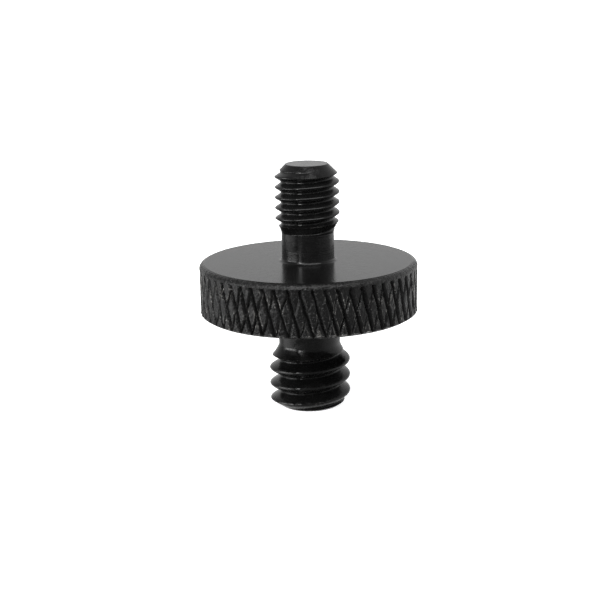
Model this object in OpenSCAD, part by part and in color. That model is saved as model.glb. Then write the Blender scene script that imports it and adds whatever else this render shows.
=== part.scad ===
// Tripod thread adapter: a short black metal stud turned from one bar.
// An M5 x 0.8 male thread stands on top of a diamond-knurled finger flange,
// and a 1/4 in - 20 male thread hangs below it.
// Millimetres, +Z up along the common axis, the lower end face at z = 0.

/* [Finger flange] */
// Diameter over the knurl
flange_d = 17; // [14:0.5:20]
// Thickness of the flange
flange_t = 4.15; // [3:0.05:6]
// Width of the bevel round the upper face, across the radius
upper_bevel_w = 0.48; // [0.3:0.02:0.7]
// Height of the bevel round the upper face
upper_bevel_h = 0.31; // [0.2:0.01:0.5]
// Width of the bevel round the lower face, across the radius
lower_bevel_w = 0.36; // [0.3:0.02:0.7]
// Height of the bevel round the lower face
lower_bevel_h = 0.22; // [0.2:0.01:0.5]

/* [Knurl] */
// Number of diamonds round the flange
knurl_count = 56; // [40:4:64]
// Angle between the knurl's grooves and the axis, in degrees
knurl_angle = 15.5; // [14:0.5:30]
// Depth of the knurl's grooves
knurl_depth = 0.2; // [0.12:0.01:0.26]
// Share of a diamond's width that stays as its flat top
knurl_land = 0.5; // [0.2:0.02:0.7]
// Height of the first row of groove crossings above the lower face
knurl_z = 1.75; // [0.1:0.05:3]
// Turn of the knurl about the axis, in degrees
knurl_turn = 5.2; // [0:0.1:9]

/* [Upper stud, M5 x 0.8] */
// Major diameter of the upper thread
upper_d = 5; // [4.5:0.25:6]
// Pitch of the upper thread
upper_pitch = 0.8; // [0.7:0.05:1]
// Length of the upper stud above the flange
upper_l = 7.55; // [6:0.05:12]
// Diameter of the plain neck under the upper thread
upper_neck_d = 4.1; // [3.4:0.05:4.1]
// Length of the plain neck under the upper thread
upper_neck_l = 2.2; // [2.1:0.1:3]
// Length over which the upper thread rises out of its neck
upper_runout_l = 1; // [0.6:0.05:1.2]
// Diameter of the flat end of the upper stud, inside its chamfer
upper_end_d = 3.3; // [2.8:0.1:3.6]
// Height of that chamfer
upper_chamfer_l = 0.85; // [0.5:0.05:1.2]
// Turn of the upper thread about the axis, in degrees
upper_turn = 238; // [0:1:359]

/* [Lower stud, 1/4 in - 20] */
// Major diameter of the lower thread
lower_d = 6.35; // [6:0.05:7]
// Pitch of the lower thread
lower_pitch = 1.27; // [1:0.01:1.3]
// Length of the lower stud below the flange
lower_l = 7.5; // [6.5:0.25:12]
// Diameter of the plain neck above the lower thread
lower_neck_d = 4.85; // [4.2:0.05:4.85]
// Length of the plain neck above the lower thread
lower_neck_l = 2.45; // [2.1:0.05:3]
// Length over which the lower thread rises out of its neck
lower_runout_l = 1.25; // [0.8:0.05:1.4]
// Diameter of the flat end of the lower stud, inside its chamfer
lower_end_d = 4.6; // [4.2:0.1:5.4]
// Height of that chamfer
lower_chamfer_l = 0.6; // [0.4:0.05:1.2]
// Turn of the lower thread about the axis, in degrees
lower_turn = 301; // [0:1:359]

/* [Both studs] */
// Radius of the fillet between a neck and the flange's face
neck_fillet = 0.25; // [0.1:0.05:0.4]

/* [Hidden] */

// Steps round a full turn of the round faces, and round one turn of a thread
round_steps = 96;
thread_steps = 40;
// Steps of a neck's fillet
fillet_steps = 4;

// Shares of the pitch that the 60 degree thread form gives to its depth and its stretches
depth_share = 5 / 16 * sqrt(3);
root_share = 1 / 4;
flank_share = 5 / 16;
crest_share = 1 / 8;

// Room between a turned outline and the crests or diamonds that it leaves uncut
outline_clear = 0.3;
// How far a stud runs on into the flange, so that the two are one solid
stud_sink = 1;

// Heights of the flange's lower and upper face
flange_z0 = lower_l;
flange_z1 = flange_z0 + flange_t;

// Size of one diamond at the flange's full diameter, and the turn from one to the next
diamond_step = 360 / knurl_count;
diamond_w = PI * flange_d / knurl_count;
diamond_h = diamond_w / tan(knurl_angle);

function polar(r, angle, z) = [r * cos(angle), r * sin(angle), z];

// Corners of one pitch of thread as [radius, height]: root, flank, crest and flank
function thread_corners(d, pitch) =
    let (
        crest_r = d / 2,
        root_r = crest_r - depth_share * pitch,
        root_end = root_share * pitch,
        crest_start = root_end + flank_share * pitch,
        crest_end = crest_start + crest_share * pitch
    )
    [[root_r, 0], [root_r, root_end], [crest_r, crest_start], [crest_r, crest_end]];

// Right-handed threaded rod along +Z that covers at least the heights 0 to l.
// Its corners follow one long helix, and each turn is joined to the one above it.
module threaded_rod(d, pitch, l) {
    corners = thread_corners(d, pitch);
    k = len(corners);
    turns = ceil(l / pitch) + 2;
    last = turns * thread_steps;
    points = [
        for (n = [0:last])
            for (c = corners)
                polar(c[0], 360 * n / thread_steps, c[1] + pitch * (n / thread_steps - 1))
    ];
    foot = len(points);
    head = foot + 1;
    ends = [[0, 0, -pitch], [0, 0, pitch * turns]];
    along_helix = [
        for (n = [0:last - 1])
            for (j = [0:k - 2])
                let (a = n * k + j, b = a + k)
                each [[a, a + 1, b + 1], [a, b + 1, b]]
    ];
    to_next_turn = [
        for (n = [0:last - thread_steps - 1])
            let (a = n * k + k - 1, b = a + k, c = (n + thread_steps) * k, d = c + k)
            each [[a, c, d], [a, d, b]]
    ];
    foot_cap = [
        for (n = [0:thread_steps - 1]) [foot, n * k, (n + 1) * k],
        for (j = [0:k - 2]) [foot, j + 1, j],
        [foot, thread_steps * k, k - 1]
    ];
    head_cap = [
        for (n = [last - thread_steps:last - 1]) [head, (n + 1) * k + k - 1, n * k + k - 1],
        for (j = [0:k - 2]) [head, last * k + j, last * k + j + 1],
        [head, (last - thread_steps) * k + k - 1, last * k]
    ];
    polyhedron(
        points = concat(points, ends),
        faces = concat(along_helix, to_next_turn, foot_cap, head_cap),
        convexity = 12
    );
}

// Fillet round a neck that stands on z = 0, as a ring that laps into the neck and into the face
module fillet(neck_r) {
    arc = [
        for (i = [0:fillet_steps])
            let (a = 90 * i / fillet_steps)
            [neck_r + neck_fillet * (1 - sin(a)), neck_fillet * (1 - cos(a))]
    ];
    core_r = neck_r - neck_fillet;
    rotate_extrude($fn = round_steps)
        polygon(concat([[core_r, -stud_sink], [arc[0][0], -stud_sink]], arc, [[core_r, neck_fillet]]));
}

// Threaded stud along +Z with its neck at the bottom and a chamfer on top.
// The turned outline cuts the neck, the run-out and the chamfer out of the threaded rod.
module stud(d, pitch, l, neck_d, neck_l, runout_l, end_d, chamfer_l) {
    neck_r = neck_d / 2;
    end_r = end_d / 2;
    outer_r = d / 2 + outline_clear;
    runout_slope = runout_l / (d / 2 - neck_r);
    chamfer_slope = chamfer_l / (d / 2 - end_r);
    fillet(neck_r);
    intersection() {
        rotate_extrude($fn = round_steps)
            polygon([
                [0, -stud_sink],
                [neck_r, -stud_sink],
                [neck_r, neck_l],
                [outer_r, neck_l + (outer_r - neck_r) * runout_slope],
                [outer_r, l - (outer_r - end_r) * chamfer_slope],
                [end_r, l],
                [0, l]
            ]);
        translate([0, 0, -stud_sink])
            threaded_rod(d, pitch, l + stud_sink);
    }
}

// Knurled bar along +Z that covers at least the heights 0 to l.
// Diamonds with flat tops stand in rows half a diamond apart, each row turned by half a step.
module knurled_bar(l) {
    top_r = flange_d / 2;
    groove_r = top_r - knurl_depth;
    row_h = diamond_h / 2;
    rows_below = 1 + ceil(knurl_z / row_h);
    rows = rows_below + 1 + ceil(l / row_h);
    row_z = [for (row = [0:rows]) knurl_z + row_h * (row - rows_below)];
    row_turn = [for (row = [0:rows]) diamond_step * (row % 2) / 2];
    land_w = knurl_land * diamond_step / 2;
    land_h = knurl_land * row_h;

    // Each row has a groove crossing at the left of every diamond
    crossings = [
        for (row = [0:rows])
            for (i = [0:knurl_count - 1])
                polar(groove_r, diamond_step * (i - 1 / 2) + row_turn[row], row_z[row])
    ];
    // The rows between the first and the last have the corners of the diamonds' flat tops
    tops = [
        for (row = [1:rows - 1])
            for (i = [0:knurl_count - 1])
                let (a = diamond_step * i + row_turn[row], z = row_z[row])
                each [
                    polar(top_r, a - land_w, z),
                    polar(top_r, a, z - land_h),
                    polar(top_r, a + land_w, z),
                    polar(top_r, a, z + land_h)
                ]
    ];
    ends = [[0, 0, row_z[0]], [0, 0, row_z[rows]]];
    foot = len(crossings) + len(tops);
    head = foot + 1;

    function crossing(row, i) = row * knurl_count + i % knurl_count;
    function first_corner(row, i) = len(crossings) + 4 * ((row - 1) * knurl_count + i);
    // Number of the crossing straight above or below diamond i, in the next row
    function beside(row, i) = i + row % 2;

    diamonds = [
        for (row = [1:rows - 1])
            for (i = [0:knurl_count - 1])
                let (
                    left = crossing(row, i),
                    right = crossing(row, i + 1),
                    low = crossing(row - 1, beside(row, i)),
                    high = crossing(row + 1, beside(row, i)),
                    t = first_corner(row, i)
                )
                each [
                    [left, t, t + 1], [left, t + 1, low],
                    [low, t + 1, t + 2], [low, t + 2, right],
                    [right, t + 2, t + 3], [right, t + 3, high],
                    [high, t + 3, t], [high, t, left],
                    [t, t + 2, t + 1], [t, t + 3, t + 2]
                ]
    ];
    foot_cap = [
        for (i = [0:knurl_count - 1])
            let (
                low = crossing(0, beside(1, i)),
                right = crossing(1, i + 1),
                next = crossing(0, beside(1, i + 1))
            )
            each [[foot, low, right], [foot, right, next]]
    ];
    head_cap = [
        for (i = [0:knurl_count - 1])
            let (
                high = crossing(rows, beside(rows - 1, i)),
                right = crossing(rows - 1, i + 1),
                next = crossing(rows, beside(rows - 1, i + 1))
            )
            each [[head, right, high], [head, next, right]]
    ];
    polyhedron(
        points = concat(crossings, tops, ends),
        faces = concat(diamonds, foot_cap, head_cap),
        convexity = 6
    );
}

// Flange on z = 0: the knurled bar cut to length, with both edges bevelled
module flange() {
    top_r = flange_d / 2;
    outer_r = top_r + outline_clear;
    intersection() {
        rotate_extrude($fn = round_steps)
            polygon([
                [0, 0],
                [top_r - lower_bevel_w, 0],
                [outer_r, lower_bevel_h * (1 + outline_clear / lower_bevel_w)],
                [outer_r, flange_t - upper_bevel_h * (1 + outline_clear / upper_bevel_w)],
                [top_r - upper_bevel_w, flange_t],
                [0, flange_t]
            ]);
        rotate(knurl_turn)
            knurled_bar(flange_t);
    }
}

module adapter()
    color([0.09, 0.09, 0.1])
        union() {
            translate([0, 0, flange_z0])
                flange();
            translate([0, 0, flange_z1])
                rotate(upper_turn)
                    stud(
                        upper_d, upper_pitch, upper_l,
                        upper_neck_d, upper_neck_l, upper_runout_l, upper_end_d, upper_chamfer_l
                    );
            translate([0, 0, flange_z0])
                rotate([180, 0, 0])
                    rotate(lower_turn)
                        stud(
                            lower_d, lower_pitch, lower_l,
                            lower_neck_d, lower_neck_l, lower_runout_l, lower_end_d, lower_chamfer_l
                        );
        }

adapter();
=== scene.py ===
"""Looks of the tripod thread adapter: a turned black steel stud with two male threads and a knurled flange.

The shapes are worked out in millimetres, +Z up along the axis, with the lower end face at z = 0.
"""

import math

import bmesh
import bpy
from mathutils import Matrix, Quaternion, Vector, noise


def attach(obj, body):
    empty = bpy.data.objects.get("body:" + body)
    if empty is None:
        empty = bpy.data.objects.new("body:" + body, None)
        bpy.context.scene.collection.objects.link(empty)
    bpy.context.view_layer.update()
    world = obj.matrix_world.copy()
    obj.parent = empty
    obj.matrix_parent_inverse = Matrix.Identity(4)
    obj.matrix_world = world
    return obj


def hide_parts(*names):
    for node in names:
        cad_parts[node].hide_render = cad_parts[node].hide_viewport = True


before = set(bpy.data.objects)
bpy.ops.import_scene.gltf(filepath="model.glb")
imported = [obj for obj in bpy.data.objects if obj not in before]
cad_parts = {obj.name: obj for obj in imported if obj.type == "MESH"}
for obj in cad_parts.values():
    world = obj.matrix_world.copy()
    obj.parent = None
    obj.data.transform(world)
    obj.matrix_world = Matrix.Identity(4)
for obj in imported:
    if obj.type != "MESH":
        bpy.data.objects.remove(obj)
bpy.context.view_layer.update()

MM = 0.001
TINY = 1e-5
SAME_SPOT = TINY * 10  # points nearer than this are one

# Finger flange
FLANGE_R = 8.5
FLANGE_T = 4.15
UPPER_BEVEL = (0.41, 0.16)  # across the radius, and in height
LOWER_BEVEL = (0.36, 0.22)
RIM_ROUND = 0.3  # what the rounded edge under the upper bevel takes of the bevel and of the knurl
RIM_STEPS = 7
FACE_LAND = 0.12  # ring along each edge of a flat face, which keeps the edge's shading and wear to itself

# Knurl: rows of diamonds half a diamond apart
KNURL_COUNT = 56
KNURL_ANGLE = math.radians(15.5)  # between a groove and the axis
KNURL_Z = 1.75  # a row of crossings above the flange's lower face
KNURL_TURN = math.radians(-1.2)  # of a crossing in that row, from the front
KNURL_END = (0.46, 0.24)  # below the upper bevel: where the grooves start to run out, and where they end
KNURL_END_STEPS = 3
KNURL_W = math.tau * FLANGE_R / KNURL_COUNT  # of a diamond, from groove to groove
KNURL_H = KNURL_W / math.tan(KNURL_ANGLE)
KNURL_ACROSS = KNURL_W * math.cos(KNURL_ANGLE)  # between two grooves of one set
DEEP_GROOVE = 0.2  # depth, and half the width, of the grooves that lean left
SHALLOW_GROOVE = 0.12  # the same of the grooves that lean right
DEEP_BITE = 0.3  # share by which the rolling varies the depth of the deep grooves
SHALLOW_BITE = 0.8
BITE_SIZE = 1.9  # of the patches that are rolled deeper or shallower
LOW_POINTS = 0.07  # how far the rolling leaves the skin low in places
STRAY_POINTS = 0.13  # how far it pushes the skin sideways
UNEVEN_SIZE = 0.5  # of those places
APART = 20  # shift of the noise for each set of grooves, up for one and down for the other
ELSEWHERE = Vector((50, 0, 0))  # a part of the noise that nothing else uses

# Wear
WORN_IN = 0.04  # height of the worn edge of a diamond, and its width on the groove's side
WORN_OUT = 0.03  # its width on the diamond's top
WORN_RIM = 0.07  # width of the rubbed rim inside that edge
FULL_WEAR_BEND = math.radians(28)  # an edge that bends outwards by this or more wears most

# Studs: heights go from the flange's face outwards, and the thread's form is in shares of its pitch
UPPER = {
    "d": 5.0,
    "pitch": 0.8,
    "depth": 0.57,
    "crest": 0.125,  # flat of the crest before it is rounded
    "root": 0.15,
    "crest_round": 0.2,  # share of the flank that the rounding takes
    "root_round": 0.2,
    "crest_z": 5.37,  # of a crest on the +X side, up from the face
    "l": 7.55,
    "neck_r": 2.04,
    "neck_l": 2.2,
    "runout_l": 1.0,
    "end_r": 1.65,
    "chamfer_l": 0.85,
}
LOWER = {
    "d": 6.35,
    "pitch": 1.27,
    "depth": 0.595,
    "crest": 0.2,
    "root": 0.083,
    "crest_round": 0.42,
    "root_round": 0.15,
    "crest_z": -5.082,
    "l": 7.5,
    "neck_r": 2.415,
    "neck_l": 2.45,
    "runout_l": 1.25,
    "end_r": 2.3,
    "chamfer_l": 0.6,
}
FLAT_ROUND = 0.49  # share of a crest's or root's flat that the rounding takes from either end
RUNOUT_CURVE = 1.5  # power of the curve in which a thread rises from its neck
NECK_FILLET = 0.25
FILLET_STEPS = 5
THREAD_STEPS = 120  # in a turn
ROUND_STEPS = 4  # in a rounded corner of a thread

LOWER_FACE = LOWER["l"]
UPPER_FACE = LOWER_FACE + FLANGE_T

SHARP_BEND = math.radians(20)  # a bend from here on stays a crisp line


# Turning


def radius_of(vert):
    return math.hypot(vert.co.x, vert.co.y)


def set_radius(vert, radius):
    share = radius / radius_of(vert)
    vert.co.x *= share
    vert.co.y *= share


def cut_off(bm, z, above):
    """Cuts a sheet at a height and drops what is above it, or below it."""
    bmesh.ops.bisect_plane(
        bm,
        geom=bm.verts[:] + bm.edges[:] + bm.faces[:],
        dist=TINY,
        plane_co=(0, 0, z),
        plane_no=(0, 0, 1),
        clear_outer=above,
        clear_inner=not above,
    )


def score(bm, heights):
    """Cuts lines round a sheet at some heights, and leaves it whole."""
    for z in heights:
        bmesh.ops.bisect_plane(
            bm,
            geom=bm.verts[:] + bm.edges[:] + bm.faces[:],
            dist=TINY,
            plane_co=(0, 0, z),
            plane_no=(0, 0, 1),
        )


def turn_down(bm, outline):
    """Brings a sheet in to the radius that outline(z) leaves, as a lathe does.

    The skin gets a clean line where the cut ends.
    """

    def over(vert):
        return radius_of(vert) - outline(vert.co.z)

    cut = [v for v in bm.verts if abs(over(v)) < TINY]
    for edge in bm.edges[:]:
        a, b = (over(v) for v in edge.verts)
        if min(abs(a), abs(b)) > TINY and a * b < 0:
            _, vert = bmesh.utils.edge_split(edge, edge.verts[0], a / (a - b))
            set_radius(vert, outline(vert.co.z))
            cut.append(vert)
    bmesh.ops.connect_verts(bm, verts=cut)
    for vert in bm.verts:
        if over(vert) > 0:
            set_radius(vert, outline(vert.co.z))


def open_ring(bm, z):
    """Boundary edges that lie at a height."""
    return [e for e in bm.edges if e.is_boundary and all(abs(v.co.z - z) < SAME_SPOT for v in e.verts)]


def carry_ring(bm, ring, radius, z):
    """Extrudes a ring of edges to a radius and a height, and returns the new ring."""
    made = bmesh.ops.extrude_edge_only(bm, edges=ring)["geom"]
    for vert in (g for g in made if isinstance(g, bmesh.types.BMVert)):
        set_radius(vert, radius)
        vert.co.z = z
    return [g for g in made if isinstance(g, bmesh.types.BMEdge) and g.is_boundary]


def rounded_corner(before, corner, after, steps):
    """Points of the curve that rounds a corner between two points."""
    for n in range(steps + 1):
        t = n / steps
        yield before.lerp(corner, t).lerp(corner.lerp(after, t), t)


# Threads


def thread_profile(stud):
    """One pitch of the thread from root to root, as radius and height.

    It is a 60 degree form with its corners rounded, and it starts and ends in the middle of a root.
    """
    pitch = stud["pitch"]
    depth, crest, root = (stud[share] * pitch for share in ("depth", "crest", "root"))
    crest_r = stud["d"] / 2
    root_r = crest_r - depth
    middle = pitch / 2
    corners = [
        Vector((root_r, 0)),
        Vector((root_r, root / 2)),
        Vector((crest_r, middle - crest / 2)),
        Vector((crest_r, middle + crest / 2)),
        Vector((root_r, pitch - root / 2)),
        Vector((root_r, pitch)),
    ]
    half_root = 2 * FLAT_ROUND  # each end of the profile has only half of a root
    crest_share, root_share = stud["crest_round"], stud["root_round"]
    shares = (
        (half_root, root_share),
        (crest_share, FLAT_ROUND),
        (FLAT_ROUND, crest_share),
        (root_share, half_root),
    )
    profile = [corners[0]]
    for before, corner, after, (share_in, share_out) in zip(corners, corners[1:], corners[2:], shares):
        start, stop = corner.lerp(before, share_in), corner.lerp(after, share_out)
        profile.extend(rounded_corner(start, corner, stop, ROUND_STEPS))
    return [*profile, corners[-1]]


def threaded_sheet(stud, low, high, crest_z):
    """Skin of a right-handed thread that covers two heights, with a crest at the height crest_z at +X."""
    bm = bmesh.new()
    pitch = stud["pitch"]
    first = crest_z - pitch / 2
    first -= math.ceil((first - low) / pitch + 1) * pitch
    turns = math.ceil((high - first) / pitch)
    verts = [bm.verts.new((p.x, 0, first + p.y)) for p in thread_profile(stud)]
    edges = [bm.edges.new(pair) for pair in zip(verts, verts[1:])]
    bmesh.ops.spin(
        bm,
        geom=verts + edges,
        cent=(0, 0, 0),
        axis=(0, 0, 1),
        dvec=(0, 0, pitch / THREAD_STEPS),
        angle=math.tau * turns,
        steps=THREAD_STEPS * turns,
    )
    bmesh.ops.remove_doubles(bm, verts=bm.verts[:], dist=SAME_SPOT)
    return bm


def stud_sheet(stud, face, up):
    """Skin of a stud from its neck to its open end, standing up from the flange's face or hanging down."""
    way = 1 if up else -1
    neck, end = face + way * stud["neck_l"], face + way * stud["l"]
    bm = threaded_sheet(stud, min(neck, end), max(neck, end), face + stud["crest_z"])
    cut_off(bm, neck, above=not up)
    cut_off(bm, end, above=up)
    chamfer = (stud["d"] / 2 - stud["end_r"]) / stud["chamfer_l"]

    def outline(z):
        runout = (stud["d"] / 2 - stud["neck_r"]) * (abs(z - neck) / stud["runout_l"]) ** RUNOUT_CURVE
        return min(stud["neck_r"] + runout, stud["end_r"] + abs(z - end) * chamfer)

    turn_down(bm, outline)
    land = carry_ring(bm, open_ring(bm, end), stud["end_r"] - FACE_LAND, end)
    bmesh.ops.holes_fill(bm, edges=land)
    return bm


# Knurl


def knurl_tooth(bm):
    """One diamond of the knurl on a flat sheet, its middle at the origin: X along the flange, and Z up.

    Its sides lie along the middles of the four grooves round it, and lines run along the grooves' edges.
    """

    def lines(groove, *more):
        half = [0, *more, groove - WORN_IN, groove + WORN_OUT, groove + WORN_OUT + WORN_RIM]
        return half + [KNURL_ACROSS - x for x in reversed(half)]

    u_lines = lines(DEEP_GROOVE, DEEP_GROOVE - SHALLOW_GROOVE)
    v_lines = lines(SHALLOW_GROOVE)
    last_u, last_v = len(u_lines) - 1, len(v_lines) - 1
    bmesh.ops.create_grid(bm, x_segments=last_u, y_segments=last_v, size=0.5)
    place = {}
    for vert in bm.verts:
        i, j = round((vert.co.x + 0.5) * last_u), round((vert.co.y + 0.5) * last_v)
        place[i, j] = vert
        u, v = u_lines[i] / KNURL_ACROSS, v_lines[j] / KNURL_ACROSS
        vert.co = ((u - v) / 2 * KNURL_W, 0, (u + v - 1) / 2 * KNURL_H)
    # At each corner of the diamond, the crease where two grooves meet runs through two of the squares
    for i_at in (lambda i: i, lambda i: last_u - i):
        for j_at in (lambda j: j, lambda j: last_v - j):
            for i, j in ((1, 0), (2, 1)):
                near, far = place[i_at(i), j_at(j)], place[i_at(i + 1), j_at(j + 1)]
                bmesh.ops.connect_verts(bm, verts=[near, far])


def bare_rim():
    """Band round the flange, past both faces, with the knurl's lines on it and no groove sunk yet."""
    tooth = bmesh.new()
    knurl_tooth(tooth)
    piece = bpy.data.meshes.new("tooth")
    tooth.to_mesh(piece)
    tooth.free()
    row_h = KNURL_H / 2
    first = -math.ceil((KNURL_Z + row_h) / row_h)
    bm = bmesh.new()
    for row in range(first, math.ceil((FLANGE_T - KNURL_Z) / row_h) + 1):
        before = len(bm.verts)
        bm.from_mesh(piece)
        bm.verts.ensure_lookup_table()
        shift = (0 if row % 2 else KNURL_W / 2, 0, LOWER_FACE + KNURL_Z + row * row_h)
        bmesh.ops.translate(bm, verts=bm.verts[before:], vec=shift)
    bpy.data.meshes.remove(piece)
    for vert in bm.verts:
        angle = vert.co.x / FLANGE_R - math.pi / 2 + KNURL_TURN
        vert.co.x, vert.co.y = FLANGE_R * math.cos(angle), FLANGE_R * math.sin(angle)
    bmesh.ops.spin(
        bm,
        geom=bm.verts[:] + bm.edges[:] + bm.faces[:],
        cent=(0, 0, 0),
        axis=(0, 0, 1),
        angle=math.tau * (KNURL_COUNT - 1) / KNURL_COUNT,
        steps=KNURL_COUNT - 1,
        use_duplicate=True,
    )
    bmesh.ops.remove_doubles(bm, verts=bm.verts[:], dist=SAME_SPOT)
    return bm


def groove_depth(groove, away):
    """Depth at a distance from a groove's middle: a straight wall, and a worn edge beside the diamond."""
    wall = groove - away
    return wall if wall > WORN_IN - TINY else max(0, WORN_IN * (wall + WORN_OUT) / (WORN_IN + WORN_OUT))


def roll_knurl(bm):
    """Sinks the grooves into a bare rim, and keeps how deep each point lies in them.

    Each wheel bites unevenly and leaves the diamonds' points a little out of place.
    """
    groove_layer = bm.verts.layers.float.new("groove")
    for vert in bm.verts:
        angle = math.atan2(vert.co.y, vert.co.x)
        turns = (angle + math.pi / 2 - KNURL_TURN) / math.tau * KNURL_COUNT
        rows = (vert.co.z - LOWER_FACE - KNURL_Z) / KNURL_H
        sink = 0
        for groove, way, bite in ((DEEP_GROOVE, 1, DEEP_BITE), (SHALLOW_GROOVE, -1, SHALLOW_BITE)):
            away = (rows + way * turns) % 1
            away = min(away, 1 - away) * KNURL_ACROSS
            bitten = 1 + bite * noise.noise(vert.co / BITE_SIZE + Vector((0, 0, APART * way)))
            sink = max(sink, bitten * groove_depth(groove, away))
        vert[groove_layer] = min(1, sink / SHALLOW_GROOVE)
        spot = vert.co / UNEVEN_SIZE
        r = FLANGE_R - sink - LOW_POINTS * (0.5 + 0.5 * noise.noise(spot))
        angle += STRAY_POINTS * noise.noise(spot + ELSEWHERE) / FLANGE_R
        vert.co.x, vert.co.y = r * math.cos(angle), r * math.sin(angle)


def fade_grooves(bm, start, stop):
    """Lets the grooves run out between two heights, so that a plain ring is left above them."""
    groove_layer = bm.verts.layers.float["groove"]
    for vert in bm.verts:
        if vert.co.z > start:
            left = math.sin(max(0, (stop - vert.co.z) / (stop - start)) * math.pi / 2)
            set_radius(vert, FLANGE_R - (FLANGE_R - radius_of(vert)) * left)
            vert[groove_layer] *= left


def rounded_rim():
    """Radius and height along the rounded edge between the upper bevel and the knurl, from the top."""
    corner = Vector((FLANGE_R, UPPER_FACE - UPPER_BEVEL[1]))
    bevel = Vector((-UPPER_BEVEL[0], UPPER_BEVEL[1])).normalized()
    start, stop = corner + bevel * RIM_ROUND, corner - Vector((0, RIM_ROUND))
    return [tuple(p) for p in rounded_corner(start, corner, stop, RIM_STEPS)]


def knurl_sheet():
    """Skin of the flange's rim from one face to the other, with both edges bevelled."""
    bm = bare_rim()
    roll_knurl(bm)
    cut_off(bm, UPPER_FACE, above=True)
    cut_off(bm, LOWER_FACE, above=False)
    start, stop = (UPPER_FACE - UPPER_BEVEL[1] - below for below in KNURL_END)
    score(bm, (start + (stop - start) * n / KNURL_END_STEPS for n in range(KNURL_END_STEPS + 1)))
    score(bm, [LOWER_FACE + LOWER_BEVEL[1] + WORN_RIM])
    fade_grooves(bm, start, stop)
    rim = rounded_rim()
    score(bm, (z for _, z in rim))

    def outline(z):
        if z > rim[0][1]:
            return FLANGE_R - UPPER_BEVEL[0] + (UPPER_FACE - z) * UPPER_BEVEL[0] / UPPER_BEVEL[1]
        for (r_above, z_above), (r_below, z_below) in zip(rim, rim[1:]):
            if z > z_below:
                return r_above + (r_below - r_above) * (z_above - z) / (z_above - z_below)
        return min(FLANGE_R, FLANGE_R - LOWER_BEVEL[0] + (z - LOWER_FACE) * LOWER_BEVEL[0] / LOWER_BEVEL[1])

    turn_down(bm, outline)
    groove_layer = bm.verts.layers.float["groove"]
    for vert in {v for e in open_ring(bm, LOWER_FACE) for v in e.verts}:
        vert[groove_layer] = 0
    return bm


# The whole adapter


def join(bm, part):
    """Adds a part to the adapter and frees it."""
    mesh = bpy.data.meshes.new("part")
    part.to_mesh(mesh)
    part.free()
    bm.from_mesh(mesh)
    bpy.data.meshes.remove(mesh)


def close_face(bm, stud, face, up):
    """Joins a stud's neck to the flange: neck, small fillet, and flat face out to the bevel."""
    way = 1 if up else -1
    rim = open_ring(bm, face)
    ring = open_ring(bm, face + way * stud["neck_l"])
    for n in range(FILLET_STEPS + 1):
        turn = math.pi / 2 * n / FILLET_STEPS
        radius = stud["neck_r"] + NECK_FILLET * (1 - math.cos(turn))
        ring = carry_ring(bm, ring, radius, face + way * NECK_FILLET * (1 - math.sin(turn)))
    ring = carry_ring(bm, ring, stud["neck_r"] + NECK_FILLET + FACE_LAND, face)
    face_r = max(radius_of(v) for e in rim for v in e.verts)
    land = carry_ring(bm, rim, face_r - FACE_LAND, face)
    bmesh.ops.triangle_fill(bm, edges=ring + land, use_beauty=True, normal=(0, 0, way))


def note_edges(bm):
    """Keeps how sharply the skin bends outwards at each point, for the wear along its edges."""
    edge_layer = bm.verts.layers.float.new("edge")
    for vert in bm.verts:
        bends = [e.calc_face_angle_signed(0) for e in vert.link_edges]
        vert[edge_layer] = min(1, max(0, *bends) / FULL_WEAR_BEND)


def adapter_mesh():
    """The adapter as one closed skin, in metres."""
    bm = bmesh.new()
    join(bm, knurl_sheet())
    join(bm, stud_sheet(UPPER, UPPER_FACE, up=True))
    join(bm, stud_sheet(LOWER, LOWER_FACE, up=False))
    close_face(bm, UPPER, UPPER_FACE, up=True)
    close_face(bm, LOWER, LOWER_FACE, up=False)
    bmesh.ops.remove_doubles(bm, verts=bm.verts[:], dist=SAME_SPOT)
    bmesh.ops.recalc_face_normals(bm, faces=bm.faces[:])
    note_edges(bm)
    bmesh.ops.scale(bm, vec=(MM, MM, MM), verts=bm.verts[:])
    mesh = bpy.data.meshes.new("adapter_body")
    bm.to_mesh(mesh)
    bm.free()
    mesh.shade_smooth()
    mesh.set_sharp_from_angle(angle=SHARP_BEND)
    return mesh


# Materials

# How many features of a pattern stand in a millimetre of the surface
TOOL_MARKS = 10
GRAIN = 6.5
CLOUDS = 1.1
WEAR_PATCHES = 0.9
BLOTCHES = 2.2
DENTS = 3.4

PLATING = ("#060606", "#0b0b0b")  # the darkest and the lightest of its clouds
BARE_STEEL = "#5c5b59"
RUB = (0.92, 1.2)  # at which the plating starts to wear off, and at which the steel is bare
LEVEL = (0.8, 0.97)  # how level a face lies where its blotches start to fade, and where they are faint
LEVEL_BLOTCH = 0.08  # what level faces keep of them
BLOTCH_NOISE = (0.35, 0.65)  # at which a blotch is at its glossiest, and at its mattest
BLOTCH_ROUGH = (-0.12, 0.11)  # what it adds there to the roughness
TURNED_ROUGH = 0.21
ROLLED_ROUGH = 0.06  # what rolling adds to the roughness
ROLLED_SKIN = (8.1, 8.3)  # radii between which the turned skin gives way to the rolled one
SHINE = 0.17
# Painted shade: the shine falls to this at the bottom of the knurl's grooves, which keeps them dark as if
# in shade
SHADED_GROOVE_SHINE = 0.06
SHADE_DEPTH = 0.3  # share of a shallow groove's depth from which the shine goes down
MARK_HEIGHT = 0.012
DENT_HEIGHT = 0.13
PAPER = "#cfcfcf"
PAPER_GLOW = 0.75


def linear(hex_colour):
    """An sRGB hex colour as linear red, green, blue and a full alpha."""
    parts = [int(hex_colour[i : i + 2], 16) / 255 for i in (1, 3, 5)]
    return [*(c / 12.92 if c <= 0.04045 else ((c + 0.055) / 1.055) ** 2.4 for c in parts), 1]


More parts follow.
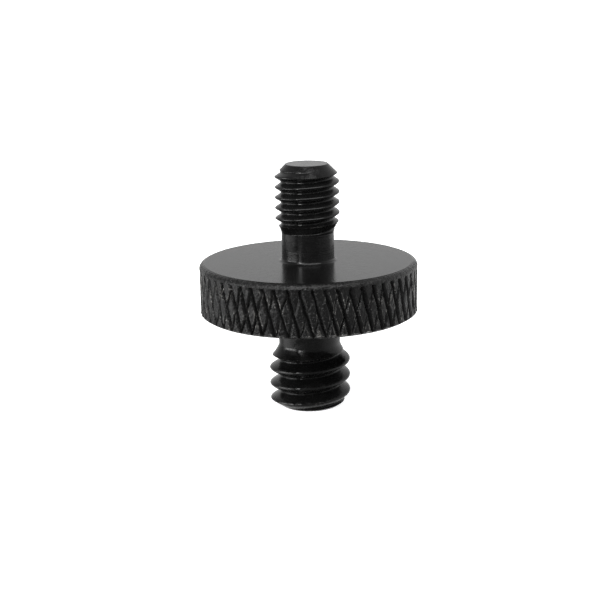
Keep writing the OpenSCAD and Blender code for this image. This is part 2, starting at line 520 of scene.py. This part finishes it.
def add_node(tree, kind, inputs=None, **settings):
    """Adds a shader node with its settings. An input takes a number, a colour, or a socket to link from."""
    made = tree.nodes.new("ShaderNode" + kind)
    for name, value in settings.items():
        setattr(made, name, value)
    for name, value in (inputs or {}).items():
        if isinstance(name, int):
            socket = made.inputs[name]
        else:
            socket = next(s for s in made.inputs if s.name == name and s.enabled)
        if isinstance(value, bpy.types.NodeSocket):
            tree.links.new(value, socket)
        else:
            socket.default_value = value
    return made


def blackened_steel():
    """Turned steel under a satin black plating.

    It is near black face on, a soft grey mirror at a low angle, and rubbed bright along its edges.
    """
    material = bpy.data.materials.new("black_plated_turned_steel")
    material.use_nodes = True
    tree = material.node_tree
    shader = tree.nodes["Principled BSDF"]
    place = add_node(tree, "TexCoord").outputs["Object"]
    place = add_node(tree, "Mapping", {"Vector": place, "Scale": (1 / MM,) * 3}).outputs["Vector"]
    x, y, z = add_node(tree, "SeparateXYZ", {"Vector": place}).outputs
    flat = add_node(tree, "CombineXYZ", {"X": x, "Y": y}).outputs["Vector"]
    radius = add_node(tree, "VectorMath", {0: flat}, operation="LENGTH").outputs["Value"]
    along = add_node(tree, "Math", {0: radius, 1: z}, operation="ADD").outputs["Value"]

    # Turning leaves marks round the part, 0.1 mm apart. The plating's clouds are about 1 mm across, and its
    # grain, which is too fine to show, is drawn 0.15 mm coarse
    marks = add_node(
        tree, "TexNoise", {"W": along, "Scale": TOOL_MARKS, "Detail": 1}, noise_dimensions="1D"
    ).outputs[0]
    grain = add_node(tree, "TexNoise", {"Vector": place, "Scale": GRAIN, "Detail": 2}).outputs[0]
    clouds = add_node(tree, "TexNoise", {"Vector": place, "Scale": CLOUDS, "Detail": 2}).outputs[0]

    # Hands rub the edges through to the steel, in specks and in patches of about 1 mm
    edge = add_node(tree, "Attribute", attribute_name="edge").outputs["Fac"]
    patchy = add_node(tree, "TexNoise", {"Vector": place, "Scale": WEAR_PATCHES, "Detail": 1}).outputs[0]
    speckle = add_node(tree, "Math", {0: grain, 1: patchy}, operation="ADD").outputs[0]
    rubbed = add_node(tree, "Math", {0: edge, 1: speckle}, operation="MULTIPLY").outputs[0]
    worn = add_node(
        tree,
        "MapRange",
        {"Value": rubbed, "From Min": RUB[0], "From Max": RUB[1]},
        interpolation_type="SMOOTHSTEP",
    ).outputs["Result"]
    dark, light = (linear(colour) for colour in PLATING)
    plating = add_node(
        tree, "Mix", {"Factor": clouds, "A": dark, "B": light}, data_type="RGBA"
    ).outputs["Result"]
    colour = add_node(
        tree, "Mix", {"Factor": worn, "A": plating, "B": linear(BARE_STEEL)}, data_type="RGBA"
    ).outputs["Result"]
    tree.links.new(colour, shader.inputs["Base Color"])
    tree.links.new(worn, shader.inputs["Metallic"])

    # The plating lies smooth and even on level faces. Elsewhere it is blotched, part matt and part glossy
    normal = add_node(tree, "TexCoord").outputs["Normal"]
    facing = add_node(tree, "SeparateXYZ", {"Vector": normal}).outputs["Z"]
    facing = add_node(tree, "Math", {0: facing}, operation="ABSOLUTE").outputs[0]
    blotched = add_node(
        tree,
        "MapRange",
        {"Value": facing, "From Min": LEVEL[0], "From Max": LEVEL[1], "To Min": 1, "To Max": LEVEL_BLOTCH},
    ).outputs["Result"]
    blotch = add_node(tree, "TexNoise", {"Vector": place, "Scale": BLOTCHES, "Detail": 2}).outputs[0]
    blotch = add_node(
        tree,
        "MapRange",
        {
            "Value": blotch,
            "From Min": BLOTCH_NOISE[0],
            "From Max": BLOTCH_NOISE[1],
            "To Min": BLOTCH_ROUGH[0],
            "To Max": BLOTCH_ROUGH[1],
        },
    ).outputs["Result"]
    rolled = add_node(
        tree, "MapRange", {"Value": radius, "From Min": ROLLED_SKIN[0], "From Max": ROLLED_SKIN[1]}
    ).outputs["Result"]
    even = add_node(
        tree, "Math", {0: rolled, 1: ROLLED_ROUGH, 2: TURNED_ROUGH}, operation="MULTIPLY_ADD"
    ).outputs[0]
    rough = add_node(tree, "Math", {0: blotch, 1: blotched, 2: even}, operation="MULTIPLY_ADD").outputs[0]
    tree.links.new(rough, shader.inputs["Roughness"])

    # Painted shade: the shine drops with depth in the knurl's grooves, so they read dark, as if in shade,
    # under any light
    groove = add_node(tree, "Attribute", attribute_name="groove").outputs["Fac"]
    shine = add_node(
        tree,
        "MapRange",
        {"Value": groove, "From Min": SHADE_DEPTH, "From Max": 1, "To Min": SHINE, "To Max": SHADED_GROOVE_SHINE},
    ).outputs["Result"]
    tree.links.new(shine, shader.inputs["Specular IOR Level"])

    # Rolling the knurl leaves its skin torn and dented, about 0.3 mm from dent to dent
    height = add_node(tree, "Math", {0: marks, 1: grain}, operation="ADD").outputs[0]
    bump = add_node(
        tree, "Bump", {"Strength": 0.5, "Distance": MARK_HEIGHT * MM, "Height": height}
    ).outputs["Normal"]
    dents = add_node(
        tree, "TexNoise", {"Vector": place, "Scale": DENTS, "Detail": 3, "Roughness": 0.6}
    ).outputs[0]
    bump = add_node(
        tree, "Bump", {"Strength": rolled, "Distance": DENT_HEIGHT * MM, "Height": dents, "Normal": bump}
    ).outputs["Normal"]
    tree.links.new(bump, shader.inputs["Normal"])
    return material


def backdrop_paper():
    """Matt white paper that glows a little of itself, so that it reads as a plain white ground."""
    material = bpy.data.materials.new("matt_white_backdrop_paper")
    material.use_nodes = True
    shader = material.node_tree.nodes["Principled BSDF"]
    shader.inputs["Base Color"].default_value = linear(PAPER)
    shader.inputs["Roughness"].default_value = 0.9
    shader.inputs["Emission Color"].default_value = (1, 1, 1, 1)
    shader.inputs["Emission Strength"].default_value = PAPER_GLOW
    return material


# Pieces

FLOOR_HALF = 3.0  # metres


def floor_mesh():
    bm = bmesh.new()
    bmesh.ops.create_grid(bm, x_segments=1, y_segments=1, size=FLOOR_HALF)
    mesh = bpy.data.meshes.new("floor")
    bm.to_mesh(mesh)
    bm.free()
    return mesh


body = bpy.data.objects.new("adapter_body", adapter_mesh())
bpy.context.scene.collection.objects.link(body)
body.data.materials.append(blackened_steel())
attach(body, "root")
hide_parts("adapter")

floor = bpy.data.objects.new("floor", floor_mesh())
bpy.context.scene.collection.objects.link(floor)
floor.data.materials.append(backdrop_paper())
floor.visible_glossy = False  # the tent's own glow stands in for it in the reflections

# Light

TENT_LIGHT = 0.4
LIGHT_RANGE = 3.0  # metres from the part to each softbox, far enough to light the floor evenly


def direction(azimuth, elevation):
    """Towards an azimuth (0 is the camera's side, 90 the right) and an elevation, in degrees."""
    a, e = math.radians(azimuth), math.radians(elevation)
    return Vector((math.sin(a) * math.cos(e), -math.cos(a) * math.cos(e), math.sin(e)))


def light_tent():
    """World of soft light: brighter round the back and low at both sides, dark high up behind the part."""
    world = bpy.data.worlds.new("light_tent")
    world.use_nodes = True
    tree = world.node_tree
    looking = add_node(tree, "TexCoord").outputs["Generated"]

    def glow(azimuth, elevation, spread, strength):
        """A soft patch of the tent, which fades out at an angle of spread round its middle."""
        near = add_node(
            tree, "VectorMath", {0: looking, 1: direction(azimuth, elevation)}, operation="DOT_PRODUCT"
        ).outputs["Value"]
        edge = math.cos(math.radians(spread))
        return add_node(
            tree,
            "MapRange",
            {"Value": near, "From Min": edge, "From Max": 1, "To Min": 0, "To Max": strength},
            interpolation_type="SMOOTHSTEP",
        ).outputs["Result"]

    back = glow(azimuth=158, elevation=15, spread=95, strength=0.51)
    low_left = glow(azimuth=-88, elevation=-30, spread=38, strength=2.5)
    low_right = glow(azimuth=92, elevation=-10, spread=60, strength=0.7)
    light = TENT_LIGHT
    for patch in (back, low_left, low_right):
        light = add_node(tree, "Math", {0: light, 1: patch}, operation="ADD").outputs[0]
    shade = glow(azimuth=180, elevation=64, spread=27, strength=0.92)
    kept = add_node(tree, "Math", {0: 1, 1: shade}, operation="SUBTRACT").outputs[0]
    light = add_node(tree, "Math", {0: light, 1: kept}, operation="MULTIPLY").outputs[0]
    tree.links.new(light, tree.nodes["Background"].inputs["Strength"])
    tree.nodes["Background"].inputs["Color"].default_value = (1, 1, 1, 1)
    return world


def softbox(name, azimuth, elevation, size, radiance):
    """A rectangular light in a direction, its width and height in metres."""
    way = direction(azimuth, elevation)
    light = bpy.data.lights.new(name, "AREA")
    light.shape = "RECTANGLE"
    light.size, light.size_y = size
    light.energy = radiance * math.pi * size[0] * size[1]
    lamp = bpy.data.objects.new(name, light)
    lamp.location = way * LIGHT_RANGE
    lamp.rotation_mode = "QUATERNION"
    lamp.rotation_quaternion = (-way).to_track_quat("-Z", "Y")
    lamp.visible_camera = False
    bpy.context.scene.collection.objects.link(lamp)


bpy.context.scene.world = light_tent()
softbox("overhead", azimuth=5, elevation=60, size=(4.5, 2.1), radiance=6.3)
softbox("left_side", azimuth=-76, elevation=3.5, size=(2.6, 0.36), radiance=17.0)
softbox("left_strip", azimuth=-36, elevation=24, size=(0.42, 1.8), radiance=30.0)

# Camera

# Fitted to the photograph: it looks down 12.2 degrees at the flange from 107 mm, and is rolled 1 degree
ELEVATION = math.radians(12.24)
DISTANCE = 107.5 * MM
ROLL = math.radians(-1.0)
FRAME_PX = 600
LENS_PX = 1379.7  # focal length in pixels of that frame
TARGET = Vector((0, 0, UPPER_FACE * MM))
TARGET_PX = (308.2, 259.7)  # where the target is in the frame
SENSOR = 36  # width in millimetres


def fitted_camera():
    camera = bpy.data.cameras.new("camera")
    camera.sensor_width = SENSOR
    camera.lens = LENS_PX / FRAME_PX * SENSOR
    camera.clip_start, camera.clip_end = 0.005, 20
    eye = bpy.data.objects.new("camera", camera)
    back = Vector((0, -math.cos(ELEVATION), math.sin(ELEVATION)))
    aim = (-back).to_track_quat("-Z", "Y") @ Quaternion((0, 0, 1), ROLL)
    middle = FRAME_PX / 2
    pan = math.atan((TARGET_PX[0] - middle) / LENS_PX)
    tilt = math.atan((middle - TARGET_PX[1]) / LENS_PX)
    eye.rotation_mode = "QUATERNION"
    eye.location = TARGET + back * DISTANCE
    eye.rotation_quaternion = aim @ Quaternion((0, 1, 0), pan) @ Quaternion((1, 0, 0), -tilt)
    bpy.context.scene.collection.objects.link(eye)
    return eye


bpy.context.scene.camera = fitted_camera()
bpy.context.scene.view_settings.view_transform = "Standard"
